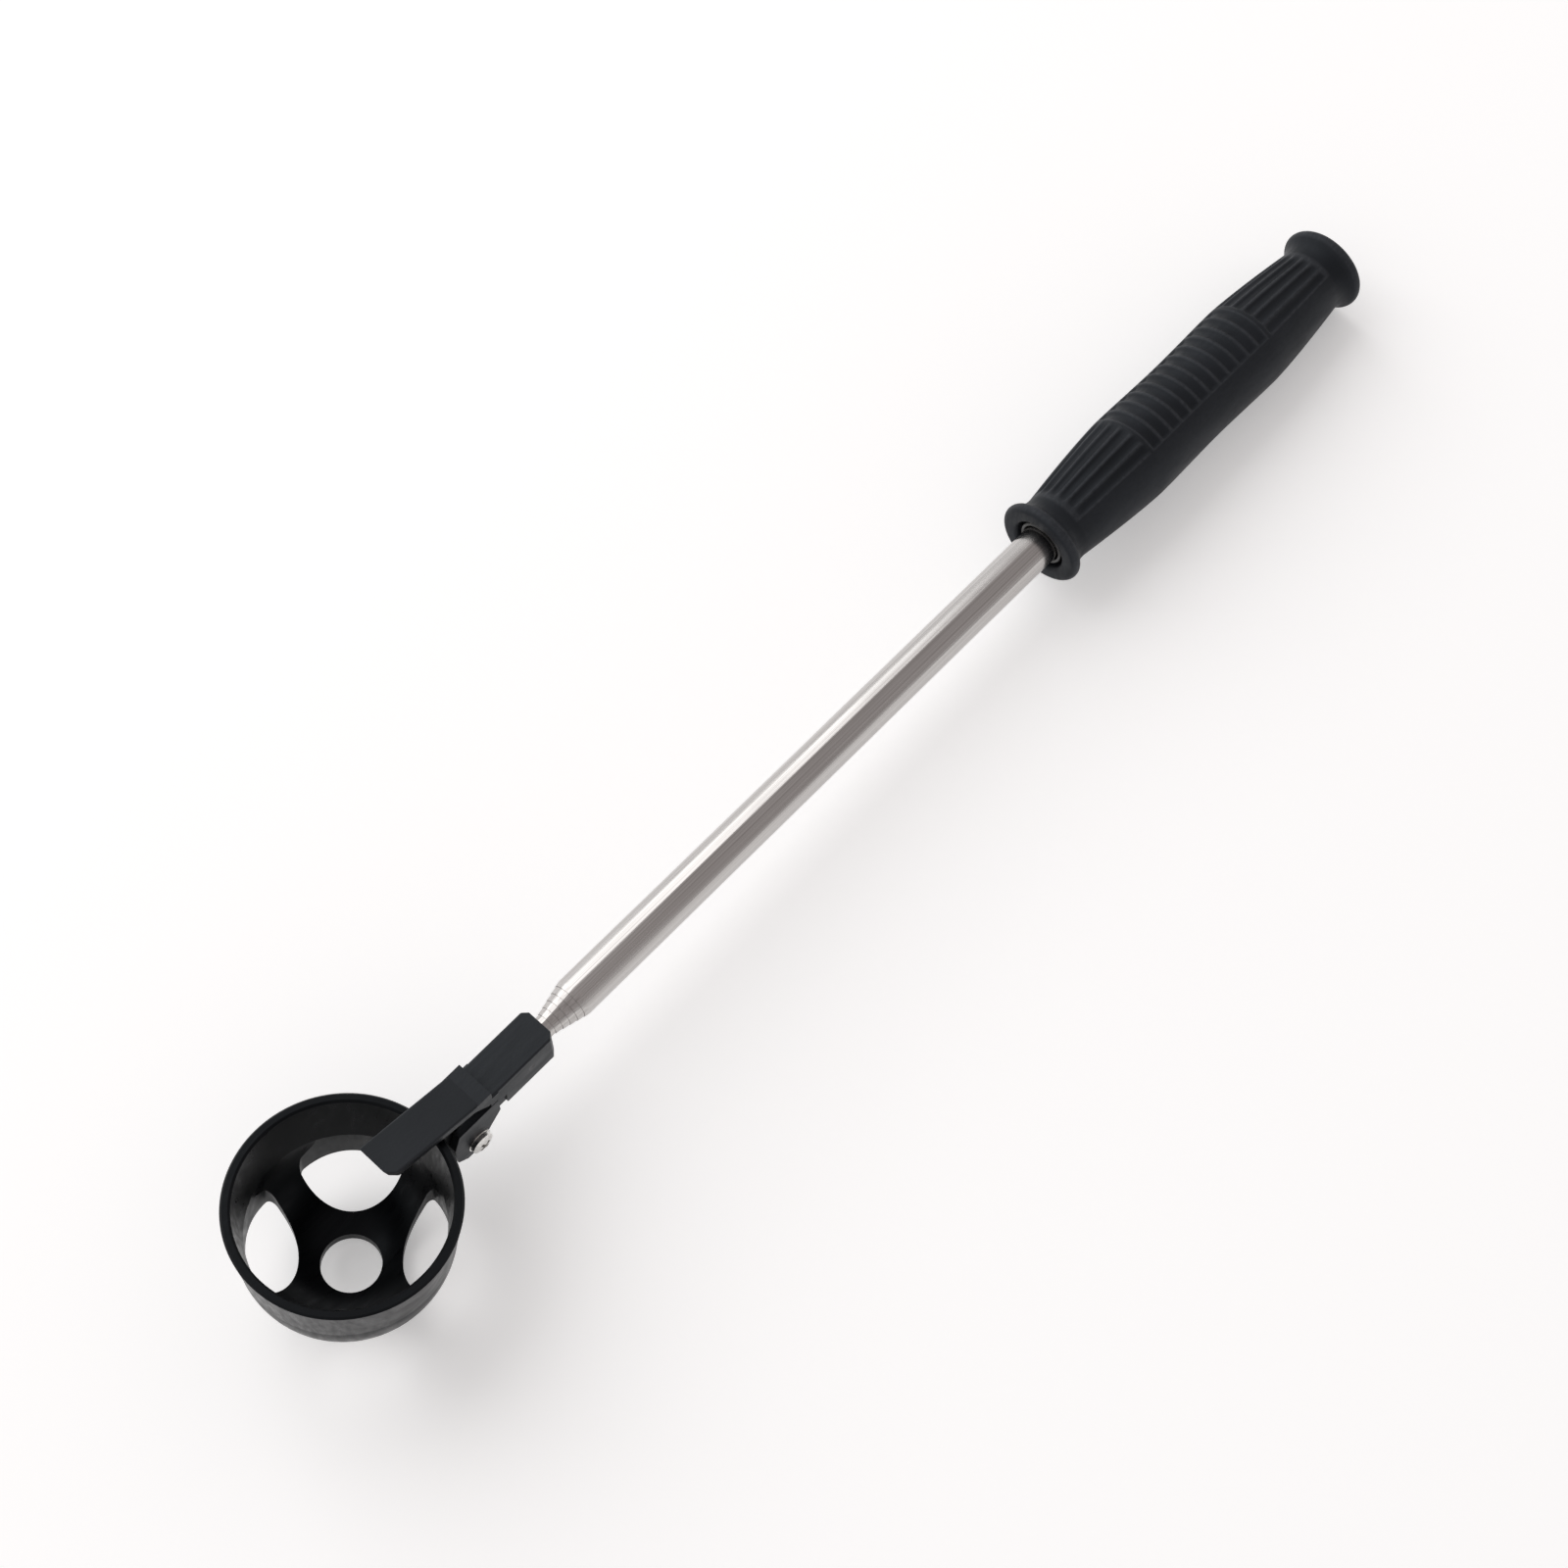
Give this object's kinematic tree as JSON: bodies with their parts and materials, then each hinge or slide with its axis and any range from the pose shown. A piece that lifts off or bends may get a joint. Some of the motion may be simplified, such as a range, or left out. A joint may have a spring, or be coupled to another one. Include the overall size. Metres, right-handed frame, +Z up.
{
  "type": "golf ball retriever",
  "caption": "Collapsible pole with a ribbed rubber grip and a hinged, vented ball cup under a retaining tongue, for lifting golf balls out of water.",
  "frame": {"origin": "under the centre of the bounding box, on the surface that the retriever lies on", "axes": "+X from the cup towards the grip, +Z up out of the cup's mouth, -Y towards the side with the pivot screw's head; the pole slopes down towards the grip by 2.77 degrees"},
  "size_m": [0.3862, 0.0538, 0.0439],
  "materials": {
    "pole_steel": "polished stainless steel tube",
    "collar_brass": "plain spring brass",
    "grip_rubber": "matte moulded rubber",
    "core_plastic": "plain",
    "cap_plastic": "fine grain",
    "head_plastic": "satin moulded plastic",
    "cup_plastic": "satin gloss moulded plastic",
    "fastener_steel": "zinc plated",
    "brass_sleeve": "plain",
    "spring_steel": "music wire"
  },
  "bodies": {
    "handle": {"grip": "grip_rubber", "grip_core": "core_plastic", "grip_cap": "cap_plastic", "section_1": "pole_steel"},
    "pole_2": {"section_2": "pole_steel", "collar_2": "collar_brass"},
    "pole_3": {"section_3": "pole_steel", "collar_3": "collar_brass"},
    "pole_4": {"section_4": "pole_steel", "collar_4": "collar_brass"},
    "pole_5": {"section_5": "pole_steel", "collar_5": "collar_brass"},
    "slider_6": {"collar_6": "collar_brass"},
    "head": {"section_6": "pole_steel", "tip_plug": "core_plastic", "cross_pin": "fastener_steel", "head_bracket": "head_plastic", "pivot_screw": "fastener_steel", "pivot_washer": "fastener_steel", "pivot_sleeve": "brass_sleeve", "pivot_nut": "fastener_steel", "torsion_spring": "spring_steel"},
    "cup_body": {"cup": "cup_plastic"}
  },
  "joints": [
    {"name": "extend_2", "type": "slide", "parent": "handle", "child": "pole_2", "axis": [-0.9988, 0, 0.0483], "range_m": [0, 0.246]},
    {"name": "extend_3", "type": "slide", "parent": "pole_2", "child": "pole_3", "axis": [-0.9988, 0, 0.0483], "range_m": [0, 0.247]},
    {"name": "extend_4", "type": "slide", "parent": "pole_3", "child": "pole_4", "axis": [-0.9988, 0, 0.0483], "range_m": [0, 0.247]},
    {"name": "extend_5", "type": "slide", "parent": "pole_4", "child": "pole_5", "axis": [-0.9988, 0, 0.0483], "range_m": [0, 0.248]},
    {"name": "extend_6", "type": "slide", "parent": "pole_5", "child": "slider_6", "axis": [-0.9988, 0, 0.0483], "range_m": [0, 0.248]},
    {"name": "head_turn", "type": "hinge", "parent": "slider_6", "child": "head", "pos_m": [-0.11281, 0, 0.02676], "axis": [-0.9988, 0, 0.0483], "continuous": true},
    {"name": "cup_pivot", "type": "hinge", "parent": "head", "child": "cup_body", "pos_m": [-0.1321, 0, 0.01708], "axis": [0, -1, 0], "range_deg": [0, 40], "stiffness_Nm_per_rad": 0.03, "springref_deg": -68.75, "deforming": ["torsion_spring"]}
  ]
}
